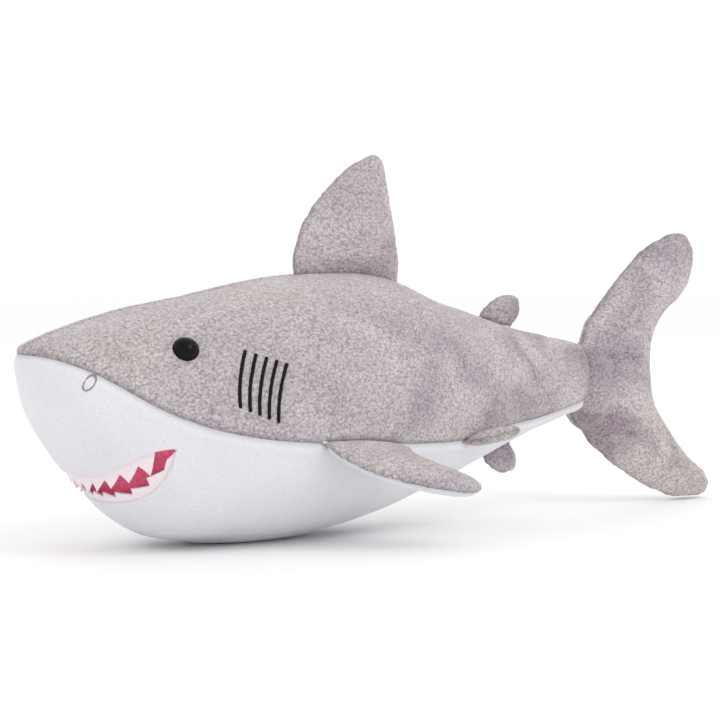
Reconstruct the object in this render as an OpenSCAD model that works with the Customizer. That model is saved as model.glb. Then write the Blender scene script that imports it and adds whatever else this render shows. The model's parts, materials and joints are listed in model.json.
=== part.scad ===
// Plush shark, lying on its belly.
// +X runs from the nose to the tail fin, +Z is up, and the shark's left side is towards -Y.
// The origin is on the resting plane, in the middle of the whole toy's length and width.

/* [Fabric] */
// Thickness of the body's plush fabric
body_fabric = 1.6; // [1.2:0.1:2.2]
// Thickness of the fins' plush fabric
fin_fabric = 1.2; // [0.8:0.1:1.6]
// Thickness of the felt that the teeth are cut from
felt = 1; // [0.8:0.1:1.2]

/* [Mouth] */
// How far up the cheeks the corners of the mouth are, as an angle from the bottom line
mouth_angle = 79; // [74:0.5:80]
// How far the upper lip reaches in front of the corners
upper_lip_reach = 27.5; // [25:0.5:30]
// How far the lower lip reaches in front of the corners
lower_lip_reach = 14.5; // [12:0.5:18]
// Depth of the pink lining behind the lips
mouth_depth = 6; // [3:0.5:7]
// Number of teeth on the upper strip
upper_teeth_count = 10; // [6:2:12]
// Number of teeth on the lower strip
lower_teeth_count = 11; // [7:2:13]

/* [Eyes] */
// Diameter of an eye
eye_d = 12.5; // [10:0.5:15]
// Distance of the eyes' centre from the nose, along the body
eye_from_nose = 62; // [55:1:70]
// Height of the eyes' centre
eye_z = 95.5; // [90:0.5:100]
// Diameter of the locking washer inside
washer_d = 20; // [16:1:22]
// Diameter of the eye's stem
stem_d = 4; // [3:0.5:5]

/* [Stitches] */
// Number of gill lines on each side
gill_count = 5; // [3:1:5]
// Distance from one gill line to the next
gill_pitch = 4.6; // [4:0.1:5.5]
// Width of a gill line
gill_w = 1.8; // [1:0.1:2.4]
// Thickness of the embroidery thread on the surface
thread = 0.8; // [0.5:0.1:1]

/* [Fins] */
// Gap between a fin's root and the body
root_gap = 0.9; // [0.7:0.1:1.5]
// Angle of the pectoral fins below horizontal
pectoral_drop = 25; // [20:1:35]
// Angle of the pelvic fins above horizontal
pelvic_rise = 10; // [0:1:20]

/* [Hidden] */

grey = [0.72, 0.68, 0.71];
white = [0.94, 0.94, 0.96];
pink = [0.86, 0.28, 0.42];
tooth_white = [0.96, 0.9, 0.93];
black = [0.03, 0.03, 0.03];
taupe = [0.62, 0.56, 0.58];
fibre = [0.98, 0.98, 0.95];

// Body stations: x, top height, bottom height, half width
BODY = [[-215, 96, 90, 3], [-212, 98, 78, 12], [-205, 101, 59, 24], [-188, 106.5, 34, 38],
        [-165, 112.5, 11.8, 46.7], [-150, 115.3, 3.6, 51.6], [-132, 118.5, 1, 56.5], [-90, 126, -1.2, 60.8],
        [-60, 129, 1.2, 59], [-33, 129, 6.2, 54], [16, 114, 21.5, 42.5], [66, 100, 39, 28],
        [115, 91, 53, 13.5]];
// Side seam between the grey and the white fabric: x, height
SEAM = [[-215, 93], [-209, 91.5], [-200, 87.7], [-186, 79.3], [-170, 68.8], [-152, 61],
        [-135, 56], [-115, 52.4], [-93, 50], [-60, 48.2], [-25, 45.2], [5, 44.5],
        [43, 49.5], [76, 52.5], [102, 57], [115, 60]];
nose_x = BODY[0][0];
stem_x = BODY[len(BODY) - 1][0];
corner_x = -161;
cheek_x = -150;
roundness = 2.2;
seam_gap = 0.15;

// ---- curves ----

function slope(p, i, c) = (p[i + 1][c] - p[i][c]) / (p[i + 1][0] - p[i][0]);
function harmonic(a, b) = a * b <= 0 ? 0 : 2 * a * b / (a + b);
function tangent(p, i, c) =
    i == 0 ? slope(p, 0, c) :
    i == len(p) - 1 ? slope(p, i - 1, c) :
    harmonic(slope(p, i - 1, c), slope(p, i, c));
function interval(p, x, i = 0) = i >= len(p) - 2 || x < p[i + 1][0] ? i : interval(p, x, i + 1);
// Smooth value of column c of table p at x, without overshoot
function along(p, x, c) =
    let (i = interval(p, x), h = p[i + 1][0] - p[i][0], t = (x - p[i][0]) / h)
    p[i][c] * (2 * t ^ 3 - 3 * t ^ 2 + 1) + p[i + 1][c] * (3 * t ^ 2 - 2 * t ^ 3)
    + tangent(p, i, c) * h * (t ^ 3 - 2 * t ^ 2 + t) + tangent(p, i + 1, c) * h * (t ^ 3 - t ^ 2);
function signed_power(v, p) = sign(v) * abs(v) ^ p;
function mix(a, b, t) = a + (b - a) * t;
function unit(v) = v / norm(v);

// ---- body surface ----

// Point on the body at x and at an angle from the bottom line, negative on the left side,
// set in from the outer surface by inset
function skin(x, angle, inset = 0) =
    let (xi = mix(nose_x + inset, stem_x, (x - nose_x) / (stem_x - nose_x)),
         high = along(BODY, xi, 1) - inset, low = along(BODY, xi, 2) + inset,
         half = along(BODY, xi, 3) - inset, mid = (high + low) / 2, tall = (high - low) / 2)
    [xi, half * signed_power(sin(angle), 2 / roundness),
     max(inset, mid - tall * signed_power(cos(angle), 2 / roundness))];
// Angle of the surface point at height z
function angle_at_height(x, z) =
    let (high = along(BODY, x, 1), low = along(BODY, x, 2))
    acos(signed_power(((high + low) / 2 - z) / ((high - low) / 2), roundness / 2));
function seam_angle(x) = angle_at_height(x, along(SEAM, x, 1));

// Lips as [x, angle], with t from -1 at the left corner to 1 at the right one
lip_rounding = 0.87;
lower_lip_curve = 1.6;
function lip_angle(t, grow = 0) = (mouth_angle + 1.2 * grow) * signed_power(sin(90 * t), lip_rounding);
function lower_lip_x(angle_share, grow = 0) =
    corner_x + grow - lower_lip_reach * max(0, cos(90 * angle_share)) ^ lower_lip_curve;
function upper_lip(t, grow = 0) =
    [corner_x + grow - (upper_lip_reach + 2 * grow) * cos(90 * t), lip_angle(t, grow)];
function lower_lip(t, grow = 0) =
    let (angle = lip_angle(t, grow)) [lower_lip_x(abs(angle) / lip_angle(1, grow), grow), angle];
// Point between the lips: 0 is the upper lip and 1 is the lower
function mouth(t, share, inset, grow = 0) =
    let (p = mix(upper_lip(t, grow), lower_lip(t, grow), share)) skin(p[0], p[1], inset);
function steps(n) = [for (i = [0:n]) i / n];

// ---- solids from grids of points ----

function quad(a, b, c, d) = [[a, b, c], [a, c, d]];

// Closed solid between two grids of points of the same size
module sheet(outer, inner) {
    rows = len(outer);
    cols = len(outer[0]);
    n = rows * cols;
    function id(i, j) = i * cols + j;
    polyhedron(
        points = concat([for (row = outer) each row], [for (row = inner) each row]),
        faces = concat(
            [for (i = [0:rows - 2], j = [0:cols - 2])
                each quad(id(i, j), id(i, j + 1), id(i + 1, j + 1), id(i + 1, j))],
            [for (i = [0:rows - 2], j = [0:cols - 2])
                each quad(n + id(i, j), n + id(i + 1, j), n + id(i + 1, j + 1), n + id(i, j + 1))],
            [for (i = [0:rows - 2], j = [0])
                each quad(id(i, j), id(i + 1, j), n + id(i + 1, j), n + id(i, j))],
            [for (i = [0:rows - 2], j = [cols - 1])
                each quad(id(i + 1, j), id(i, j), n + id(i, j), n + id(i + 1, j))],
            [for (j = [0:cols - 2], i = [0])
                each quad(id(i, j + 1), id(i, j), n + id(i, j), n + id(i, j + 1))],
            [for (j = [0:cols - 2], i = [rows - 1])
                each quad(id(i, j), id(i, j + 1), n + id(i, j + 1), n + id(i, j))]),
        convexity = 10);
}

// Closed solid through a row of rings. Each end is closed by rungs from one side of its ring to
// the other, so an end may follow a curve
module loft(rings) {
    rows = len(rings);
    cols = len(rings[0]);
    half = cols / 2;
    function id(i, j) = i * cols + j % cols;
    function end(i) = concat(
        [[id(i, 0), id(i, cols - 1), id(i, 1)], [id(i, half - 1), id(i, half + 1), id(i, half)]],
        [for (j = [1:half - 2]) each quad(id(i, j), id(i, cols - j), id(i, cols - j - 1), id(i, j + 1))]);
    polyhedron(
        points = [for (ring = rings) each ring],
        faces = concat(
            [for (i = [0:rows - 2], j = [0:cols - 1])
                each quad(id(i, j), id(i, j + 1), id(i + 1, j + 1), id(i + 1, j))],
            end(0),
            [for (f = end(rows - 1)) [f[0], f[2], f[1]]]),
        convexity = 10);
}

// ---- body fabric and filling ----

back_rows = 40;
back_cols = 12;
function body_x(share) = mix(nose_x, stem_x, share ^ 1.5);

module left_back_panel() {
    function grid(inset) = [for (s = steps(back_rows)) let (x = body_x(s))
        [for (t = steps(back_cols)) skin(x, mix(-seam_angle(x) - seam_gap, -179.9, t), inset)]];
    color(grey) sheet(grid(0), grid(body_fabric));
}

module right_back_panel() {
    mirror([0, 1, 0]) left_back_panel();
}

// Extra gap between the snout and the back panels round the nose
nose_clearance = 0.7;
// Start of a fan line across the snout: on the side seam, or round the nose's tip
function snout_start(t) =
    let (tip = 0.12, far = max(0, (abs(t) - tip) / (1 - tip)), x = mix(nose_x, cheek_x, far ^ 1.3),
         slack = 2 * seam_gap + (1 - far) ^ 2 * asin(nose_clearance / along(BODY, x, 3)))
    [x, sign(t) * (seam_angle(x) - slack) * min(1, abs(t) / tip)];

module snout_panel() {
    rows = 32;
    cols = 12;
    function grid(inset) = [for (s = steps(rows)) let (t = 2 * s - 1)
        [for (v = steps(cols)) let (p = mix(snout_start(t), upper_lip(t), v ^ 1.6))
            skin(p[0], p[1], inset)]];
    color(white) sheet(grid(0), grid(body_fabric));
}

// Half of the belly panel's spread at x: lower lip, cheek seam, then side seam
function belly_spread(x) =
    let (lip = min(1, max(0, corner_x - x) / lower_lip_reach) ^ (1 / lower_lip_curve))
    x < corner_x ? mouth_angle * acos(lip) / 90 :
    x < cheek_x ? mix(mouth_angle, seam_angle(cheek_x), (x - corner_x) / (cheek_x - corner_x)) :
    seam_angle(x);

module belly_panel() {
    cols = 16;
    xs = concat([for (s = [0:7]) lower_lip_x(mix(0.03, 1, s / 8))],
                [for (s = [0:2]) mix(corner_x, cheek_x, s / 3)],
                [for (s = steps(25)) mix(cheek_x, stem_x, s ^ 1.2)]);
    function grid(inset) = [for (x = xs) let (spread = belly_spread(x) - 4 * seam_gap)
        [for (t = steps(cols)) skin(x, mix(spread, -spread, t), inset)]];
    color(white) sheet(grid(0), grid(body_fabric));
}

// How far the filling is set in to leave room for the mouth, from 0 to 1
function mouth_room(x, angle) =
    let (grow = 7, share = min(1, abs(angle) / (mouth_angle + grow)),
         front = corner_x + grow - (upper_lip_reach + 2 * grow) * sqrt(1 - share ^ (2 / lip_rounding)))
    x > front && x < lower_lip_x(share, grow) ? 1 : 0;

module body_stuffing() {
    rows = 38;
    cols = 28;
    clearance = 1;
    room = mouth_depth + 3.5;
    rings = [for (s = steps(rows)) let (x = body_x(s)) [for (j = [0:cols - 1])
        let (angle = 180 - 360 * j / cols)
        skin(x, angle, body_fabric + clearance + room * mouth_room(x, angle))]];
    color(fibre) loft(rings);
}

// ---- mouth ----

teeth_inset = body_fabric + 0.9;
lining_edge = teeth_inset + felt + 0.4;

module mouth_lining() {
    rows = 28;
    cols = 8;
    thickness = 1.2;
    function dip(t, v) = mouth_depth * max(0, sin(180 * v)) ^ 0.6 * (1 - t ^ 4);
    function grid(extra) = [for (s = steps(rows)) let (t = mix(-0.97, 0.97, s))
        [for (v = steps(cols)) mouth(t, v, lining_edge + extra + dip(t, v), 1.5)]];
    color(pink) sheet(grid(0), grid(thickness));
}

// Places of the teeth along the lips, for s from -1 to 1, so that they are evenly wide
function upper_tooth_place(s) = 0.78 * (0.85 * s + 0.15 * s ^ 3);
function lower_tooth_place(s) = sign(s) * asin((0.93 * abs(s)) ^ (1 / lip_rounding)) / 90;

// Strip of felt teeth: base, end and the zigzag's two levels, as shares of the way between the lips
module tooth_strip(count, place, base, end, valley, tip) {
    turn = base < tip ? 1 : -1;
    function edge(i) = i == 0 || i == 2 * count ? end : i % 2 == 0 ? valley : tip;
    function grid(extra) = [for (i = [0:2 * count]) let (t = place(turn * (i / count - 1)))
        [for (v = steps(3)) mouth(t, mix(base, edge(i), v), teeth_inset + extra)]];
    sheet(grid(0), grid(felt));
}

module upper_teeth() {
    color(tooth_white) tooth_strip(upper_teeth_count, function (s) upper_tooth_place(s),
                                   -0.1, 0.04, 0.22, 0.62);
}

module lower_teeth() {
    color(tooth_white) tooth_strip(lower_teeth_count, function (s) lower_tooth_place(s),
                                   1.06, 0.93, 0.74, 0.58);
}

// ---- eyes ----

eye_x = nose_x + eye_from_nose;
eye_angle = -angle_at_height(eye_x, eye_z);
eye_spot = skin(eye_x, eye_angle);
eye_normal = unit(cross(skin(eye_x, eye_angle + 2) - eye_spot, skin(eye_x + 2, eye_angle) - eye_spot));
eye_yaw = atan2(eye_normal[1], eye_normal[0]);
eye_tilt = acos(eye_normal[2]);

// Puts a thing that stands along +Z at the left eye, pointing out of the body
module at_left_eye() {
    translate(eye_spot) rotate([0, 0, eye_yaw]) rotate([0, eye_tilt, 0]) children();
}

module left_eye() {
    rim_z = 0.4;
    rim_h = 1;
    dome_h = 0.35 * eye_d;
    dome_r = (eye_d ^ 2 / 4 + dome_h ^ 2) / (2 * dome_h);
    stem_l = 9;
    color(black) at_left_eye() {
        intersection() {
            translate([0, 0, rim_z + rim_h + dome_h - dome_r]) sphere(r = dome_r, $fn = 64);
            translate([0, 0, rim_z + rim_h]) cylinder(d = eye_d, h = eye_d, $fn = 64);
        }
        translate([0, 0, rim_z]) cylinder(d = eye_d, h = rim_h, $fn = 64);
        translate([0, 0, -stem_l]) cylinder(d = stem_d, h = stem_l + rim_h, $fn = 24);
    }
}

module right_eye() {
    mirror([0, 1, 0]) left_eye();
}

module left_eye_washer() {
    washer_h = 1.5;
    depth = body_fabric + 3.2;
    color(white) at_left_eye() translate([0, 0, -depth - washer_h]) difference() {
        cylinder(d = washer_d, h = washer_h, $fn = 48);
        translate([0, 0, -1]) cylinder(d = stem_d + 0.1, h = washer_h + 2, $fn = 24);
    }
}

module right_eye_washer() {
    mirror([0, 1, 0]) left_eye_washer();
}

// ---- embroidery ----

// Gill line number i at share s of the way down: x and height, bowed towards the nose
function gill_point(i, s) =
    [-126.3 + gill_pitch * i - 6.8 * s - 2.2 * sin(180 * s),
     mix(93 - 1.5 * i, 67.5 - 1.8 * i, s)];

module gill_stitch(i) {
    rows = 8;
    lift = 0.05;
    function grid(inset) = [for (s = steps(rows)) let (p = gill_point(i, s))
        [for (side = [-1, 0, 1]) let (x = p[0] + side * gill_w / 2)
            skin(x, -angle_at_height(x, p[1]), inset - (side == 0 ? thread / 4 : 0))]];
    sheet(grid(-lift - 0.75 * thread), grid(-lift));
}

module left_gill_stitches() {
    color(black) for (i = [0:gill_count - 1]) gill_stitch(i);
}

module right_gill_stitches() {
    mirror([0, 1, 0]) left_gill_stitches();
}

module left_nostril_stitch() {
    nostril_x = -196;
    nostril_z = 78.5;
    points = 16;
    color(taupe) loft_loop([for (j = [0:points - 1]) let (a = 360 * j / points)
        [for (k = [0:5]) let (b = 60 * k, reach = 1 + 0.5 * thread * cos(b) / 3,
                              x = nostril_x + reach * (2.1 * cos(a) + 1.4 * sin(a)),
                              z = nostril_z + reach * 3.6 * sin(a))
            skin(x, -angle_at_height(x, z), -0.05 - 0.5 * thread * (1 + sin(b)))]]);
}

// Closed solid round a loop of rings
module loft_loop(rings) {
    rows = len(rings);
    cols = len(rings[0]);
    function id(i, j) = (i % rows) * cols + j % cols;
    polyhedron(
        points = [for (ring = rings) each ring],
        faces = [for (i = [0:rows - 1], j = [0:cols - 1])
            each quad(id(i, j), id(i, j + 1), id(i + 1, j + 1), id(i + 1, j))],
        convexity = 10);
}

module right_nostril_stitch() {
    mirror([0, 1, 0]) left_nostril_stitch();
}

// ---- fins ----

// Fin outlines, one station a row: span from the root, leading edge, trailing edge, half thickness
FIRST_DORSAL = [[0, 0, 64, 0.8], [3, 0.2, 63.7, 4], [8, 1, 63.1, 7.5], [15, 2.8, 62.2, 9.2],
                [22, 5.6, 60.8, 9.2], [30, 10.5, 59.2, 8.6], [38, 17.4, 57.6, 7.8],
                [46, 26, 56, 6.8], [52, 34, 54.8, 5.6], [56, 41, 53, 4.2], [58.3, 47, 50.5, 2]];
SECOND_DORSAL = [[0, 0, 22, 0.8], [2.5, 1.4, 25.4, 2.6], [5, 4.4, 27.6, 3.8], [8, 8.8, 28.6, 4],
                 [10, 12.8, 27.8, 3.2], [11.6, 17.5, 25.5, 1.8]];
ANAL_FIN = [[0, 0, 19, 0.8], [3, 1.2, 21.2, 2.6], [6, 3.6, 23.6, 3.6], [9, 8.4, 24.4, 3.2],
            [11, 13.2, 22.4, 1.8]];
PECTORAL = [[0, 0, 53, 0.8], [3, -0.6, 52.6, 2.6], [7, -0.9, 52.2, 4.8], [12, 0, 52, 6.2],
            [18, 2.3, 53.5, 6.6], [24, 5.8, 59.5, 6.6], [29, 10, 66.5, 6.3], [34, 17, 70.3, 5.9],
            [38, 25, 70.8, 5.4], [42, 36, 68.5, 4.4], [44.6, 47, 63.5, 3], [45.6, 53, 59, 1.6]];
PELVIC = [[0, 0, 22, 0.8], [2.5, 0.4, 23, 2.4], [6, 2.4, 25.2, 4], [10, 6.2, 27.6, 4.2],
          [13.5, 11.5, 28.6, 3.4], [15.8, 17.5, 27, 1.6]];
// Tail fin: height, leading edge, trailing edge, half thickness
TAIL_FIN = [[0.4, 190, 205, 3], [2.5, 179, 212, 5], [8, 165.5, 214.6, 7], [15, 152, 210.5, 8.4],
            [23, 138.5, 199, 9.4], [34, 124, 187.5, 10.4], [44, 118.5, 179, 11],
            [53, 118, 171.5, 11.6], [62, 118, 168, 12], [74, 118, 166.7, 12], [86, 118, 167.2, 11.6],
            [94, 118.4, 169.7, 11], [101, 121.5, 174, 10.6], [107, 126.5, 180, 10.2],
            [112, 130.5, 189, 9.8], [121, 139.5, 197, 9], [131, 150, 200.6, 8.2],
            [139, 159, 201, 7], [145, 170, 198.5, 5.4], [149, 180.5, 195, 3.6],
            [150.6, 186, 191.5, 1.8]];

// A fin's frame: [front of the root, root direction, span direction, root length, line], where
// line(share) is the point of the body's surface under that share of the root
function fin_frame(line, along_root, span) =
    let (first = line(0), v = unit(span - (span * along_root) * along_root))
    [first, along_root, v, (line(1) - first) * along_root, line];
// Frame of a fin on the body's top line (angle 180) or bottom line (angle 0)
function midline_frame(x0, x1, angle, span) =
    fin_frame(function (share) skin(mix(x0, x1, share), angle, -root_gap), [1, 0, 0], span);
// Frame of a fin on the left side seam
function side_frame(x0, x1, drop) =
    let (line = function (share) let (x = mix(x0, x1, share)) skin(x, -seam_angle(x), -root_gap))
    fin_frame(line, unit(line(1) - line(0)), [0, -cos(drop), -sin(drop)]);

dorsal_frame = midline_frame(-69, -5, 180, [0, 0, 1]);
second_dorsal_frame = midline_frame(46, 68, 180, [0, 0, 1]);
anal_frame = midline_frame(48, 67, 0, [0, 0, -1]);
pectoral_frame = side_frame(-92, -38, pectoral_drop);
pelvic_frame = side_frame(5, 26, -pelvic_rise);
tail_frame = fin_frame(function (share) [share, 0, 0], [1, 0, 0], [0, 0, 1]);
// Height over which a fin's outline leaves the curve of the body
root_fade = 20;

// How high the body's surface stands over the root's front end, at a share of the root
function rise(frame, share) = let (line = frame[4]) (line(share) - frame[0]) * frame[2];
// A point of a fin, from a station of its outline and an angle round its section
function fin_point(frame, station, angle, inset) =
    let (half = (station[2] - station[1]) / 2, cut = min(inset, 0.6 * half),
         thin = min(inset, 0.6 * station[3]),
         u = (station[1] + station[2]) / 2 - (half - cut) * cos(angle),
         v = station[0] + rise(frame, u / frame[3]) * max(0, 1 - station[0] / root_fade) ^ 2,
         w = (station[3] - thin) * sin(angle))
    frame[0] + u * frame[1] + v * frame[2] + w * cross(frame[1], frame[2]);

fin_cols = 9;

// One side's fabric of a fin: side is 1 or -1 along the fin's thickness
module fin_face(frame, stations, side) {
    function grid(inset) = [for (station = stations) [for (t = steps(fin_cols))
        fin_point(frame, station, side * 180 * (side > 0 ? 1 - t : t), inset)]];
    sheet(grid(0), grid(fin_fabric));
}

module fin_filling(frame, stations) {
    cols = 2 * fin_cols;
    loft([for (station = stations) [for (j = [0:cols - 1])
        fin_point(frame, station, -360 * j / cols, fin_fabric + 0.15)]]);
}

module first_dorsal_left_face() {
    color(grey) fin_face(dorsal_frame, FIRST_DORSAL, 1);
}

module first_dorsal_right_face() {
    color(grey) fin_face(dorsal_frame, FIRST_DORSAL, -1);
}

module first_dorsal_stuffing() {
    color(fibre) fin_filling(dorsal_frame, FIRST_DORSAL);
}

module second_dorsal_left_face() {
    color(grey) fin_face(second_dorsal_frame, SECOND_DORSAL, 1);
}

module second_dorsal_right_face() {
    color(grey) fin_face(second_dorsal_frame, SECOND_DORSAL, -1);
}

module second_dorsal_stuffing() {
    color(fibre) fin_filling(second_dorsal_frame, SECOND_DORSAL);
}

module anal_fin_left_face() {
    color(grey) fin_face(anal_frame, ANAL_FIN, -1);
}

module anal_fin_right_face() {
    color(grey) fin_face(anal_frame, ANAL_FIN, 1);
}

module anal_fin_stuffing() {
    color(fibre) fin_filling(anal_frame, ANAL_FIN);
}

module tail_fin_left_face() {
    color(grey) fin_face(tail_frame, TAIL_FIN, 1);
}

module tail_fin_right_face() {
    color(grey) fin_face(tail_frame, TAIL_FIN, -1);
}

module tail_fin_stuffing() {
    color(fibre) fin_filling(tail_frame, TAIL_FIN);
}

module left_pectoral_top() {
    color(grey) fin_face(pectoral_frame, PECTORAL, -1);
}

module left_pectoral_underside() {
    color(white) fin_face(pectoral_frame, PECTORAL, 1);
}

module left_pectoral_stuffing() {
    color(fibre) fin_filling(pectoral_frame, PECTORAL);
}

module left_pelvic_top() {
    color(grey) fin_face(pelvic_frame, PELVIC, -1);
}

module left_pelvic_underside() {
    color(grey) fin_face(pelvic_frame, PELVIC, 1);
}

module left_pelvic_stuffing() {
    color(fibre) fin_filling(pelvic_frame, PELVIC);
}

module right_pectoral_top() {
    mirror([0, 1, 0]) left_pectoral_top();
}

module right_pectoral_underside() {
    mirror([0, 1, 0]) left_pectoral_underside();
}

module right_pectoral_stuffing() {
    mirror([0, 1, 0]) left_pectoral_stuffing();
}

module right_pelvic_top() {
    mirror([0, 1, 0]) left_pelvic_top();
}

module right_pelvic_underside() {
    mirror([0, 1, 0]) left_pelvic_underside();
}

module right_pelvic_stuffing() {
    mirror([0, 1, 0]) left_pelvic_stuffing();
}

left_back_panel();
right_back_panel();
snout_panel();
belly_panel();
body_stuffing();
mouth_lining();
upper_teeth();
lower_teeth();
left_eye();
right_eye();
left_eye_washer();
right_eye_washer();
left_gill_stitches();
right_gill_stitches();
left_nostril_stitch();
right_nostril_stitch();
first_dorsal_left_face();
first_dorsal_right_face();
first_dorsal_stuffing();
second_dorsal_left_face();
second_dorsal_right_face();
second_dorsal_stuffing();
anal_fin_left_face();
anal_fin_right_face();
anal_fin_stuffing();
tail_fin_left_face();
tail_fin_right_face();
tail_fin_stuffing();
left_pectoral_top();
left_pectoral_underside();
left_pectoral_stuffing();
right_pectoral_top();
right_pectoral_underside();
right_pectoral_stuffing();
left_pelvic_top();
left_pelvic_underside();
left_pelvic_stuffing();
right_pelvic_top();
right_pelvic_underside();
right_pelvic_stuffing();
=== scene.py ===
"""Looks of the plush shark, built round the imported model, in metres."""
import json
import math

import bmesh
import bpy
import numpy as np
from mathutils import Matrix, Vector, noise
from mathutils.bvhtree import BVHTree
from mathutils.kdtree import KDTree


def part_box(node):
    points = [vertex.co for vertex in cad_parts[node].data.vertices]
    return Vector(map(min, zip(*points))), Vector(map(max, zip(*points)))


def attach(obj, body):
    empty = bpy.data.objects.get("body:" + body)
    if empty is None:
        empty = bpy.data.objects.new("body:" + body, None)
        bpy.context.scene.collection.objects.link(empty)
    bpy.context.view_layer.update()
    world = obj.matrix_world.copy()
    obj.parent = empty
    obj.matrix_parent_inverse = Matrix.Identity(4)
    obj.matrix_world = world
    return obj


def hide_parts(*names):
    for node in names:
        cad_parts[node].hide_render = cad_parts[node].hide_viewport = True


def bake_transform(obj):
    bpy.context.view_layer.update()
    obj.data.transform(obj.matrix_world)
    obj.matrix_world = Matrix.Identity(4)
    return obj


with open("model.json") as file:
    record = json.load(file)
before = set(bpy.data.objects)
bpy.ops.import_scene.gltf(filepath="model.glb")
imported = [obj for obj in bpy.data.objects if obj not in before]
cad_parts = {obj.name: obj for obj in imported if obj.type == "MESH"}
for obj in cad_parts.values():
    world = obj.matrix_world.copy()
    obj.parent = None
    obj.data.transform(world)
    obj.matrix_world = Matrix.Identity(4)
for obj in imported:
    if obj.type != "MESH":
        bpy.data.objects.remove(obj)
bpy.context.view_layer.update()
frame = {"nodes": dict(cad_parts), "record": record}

MM = 0.001
GREY_NODES = ("left_back_panel", "right_back_panel")
WHITE_NODES = ("snout_panel", "belly_panel")
MOUTH_NODES = ("mouth_lining", "upper_teeth", "lower_teeth")
BODY = "body"

NOSE_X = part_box("left_back_panel")[0][0]
STEM_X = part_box("left_back_panel")[1][0]

# Where the mouth's corners and the cheek seams' tops are, and where the nose's tip is drawn out from
MOUTH_CORNER_X = -161 * MM
CHEEK_X = -150 * MM
NOSE_PULL_X = -180 * MM

# The line and radius that the head's surface is unrolled round
HEAD_AXIS_Z = 62 * MM
HEAD_RADIUS = 47 * MM

# Way the left eye faces
EYE_NORMAL = (-0.255, -0.797, 0.548)

# The hem's rings, as how far out of the skin and into the mouth they lie, in millimetres
HEM_RINGS = ((-0.22, 0.35), (-0.8, 0.5), (-1.7, 0.3), (-3.2, -0.9))

# Felt strips: start is the corner's share of the lip without teeth, band and tip are distances
# from the lip, lean is how far the tips stand forward as a share of the lip
UPPER_TEETH = {"count": 10, "start": 0.075, "band": 3.6 * MM, "tip": 9.2 * MM, "lean": 0.05,
               "from_upper": True}
LOWER_TEETH = {"count": 11, "start": 0.02, "band": 3 * MM, "tip": 6.4 * MM, "lean": 0.04,
               "from_upper": False}

# How far the nostril's loop is raised from its node
NOSTRIL_RAISE = 1.5 * MM

# Filling inside the tail's root: an egg's centre and half axes
TAIL_PLUG = ((STEM_X + 6 * MM, 0, 66 * MM), (13.5 * MM, 15.5 * MM, 24 * MM))

# Fins: prefix, body, joint, faces, voxel size in mm, subdivisions, depth sunk into the body in mm,
# and a distance out from the hinge in mm
LEFT_RIGHT = ("left_face", "right_face")
TOP_UNDER = ("top", "underside")
FINS = [("first_dorsal", "first_dorsal", "first_dorsal_lean", LEFT_RIGHT, 2.4, 2, 4, 12),
        ("second_dorsal", "second_dorsal", "second_dorsal_lean", LEFT_RIGHT, 1.3, 1, 2, 6),
        ("anal_fin", "anal_fin", "anal_fin_lean", LEFT_RIGHT, 1.3, 1, 2, 6),
        ("tail_fin", "tail_fin", "tail_fin_swing", LEFT_RIGHT, 2.4, 2, 4, 16)]
for side in ("left", "right"):
    for kind, measures in (("pectoral", (2.2, 2, 3, 10)), ("pelvic", (1.3, 1, 2, 6))):
        FINS.append((f"{side}_{kind}", f"{side}_{kind}_fin", f"{side}_{kind}_flap", TOP_UNDER, *measures))

CLOTH_FRAMES = 20

# ---- camera, light and floor ----

VIEW_AZIMUTH = math.radians(-36.67)
VIEW_ELEVATION = math.radians(1.97)
VIEW_DISTANCE = 1.061
VIEW_TARGET = Vector((0.0023, 0.0, 0.096))
VIEW_LENS = 104.3
VIEW_SHIFT = (-0.0701, -0.0337)


def make_camera():
    data = bpy.data.cameras.new("camera")
    data.lens = VIEW_LENS
    data.sensor_width = 36.0
    data.shift_x, data.shift_y = VIEW_SHIFT
    camera = bpy.data.objects.new("camera", data)
    bpy.context.scene.collection.objects.link(camera)
    back = Vector((math.sin(VIEW_AZIMUTH) * math.cos(VIEW_ELEVATION),
                   -math.cos(VIEW_AZIMUTH) * math.cos(VIEW_ELEVATION),
                   math.sin(VIEW_ELEVATION)))
    camera.location = VIEW_TARGET + back * VIEW_DISTANCE
    camera.rotation_euler = back.to_track_quat("Z", "Y").to_euler()
    bpy.context.scene.camera = camera


def make_area_light(name, place, target, size, power):
    data = bpy.data.lights.new(name, "AREA")
    data.shape = "SQUARE"
    data.size = size
    data.energy = power
    light = bpy.data.objects.new(name, data)
    bpy.context.scene.collection.objects.link(light)
    light.location = place
    light.rotation_euler = (Vector(place) - Vector(target)).to_track_quat("Z", "Y").to_euler()


def make_stage():
    bpy.ops.mesh.primitive_plane_add(size=12, location=(0, 0, 0))
    floor = bpy.context.object
    floor.name = "floor"
    material = bpy.data.materials.new("floor")
    material.use_nodes = True
    shader = material.node_tree.nodes["Principled BSDF"]
    shader.inputs["Base Color"].default_value = (0.965, 0.965, 0.965, 1)
    shader.inputs["Roughness"].default_value = 0.8
    floor.data.materials.append(material)
    world = bpy.data.worlds.new("studio")
    bpy.context.scene.world = world
    world.use_nodes = True
    background = world.node_tree.nodes["Background"]
    background.inputs["Color"].default_value = (1.0, 1.0, 1.0, 1)
    background.inputs["Strength"].default_value = 1.02
    middle = (0, 0, 0.08)
    make_area_light("key", (0.35, -1.2, 1.3), middle, 0.8, 5)
    make_area_light("back", (0.9, 1.1, 1.2), middle, 1.0, 2)
    bpy.context.scene.view_settings.view_transform = "Standard"


# ---- materials ----

def linear(r, g, b):
    """A colour given as 0 to 255 screen values, as linear light."""
    def one(v):
        v /= 255
        return v / 12.92 if v <= 0.04045 else ((v + 0.055) / 1.055) ** 2.4
    return (one(r), one(g), one(b), 1.0)


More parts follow.
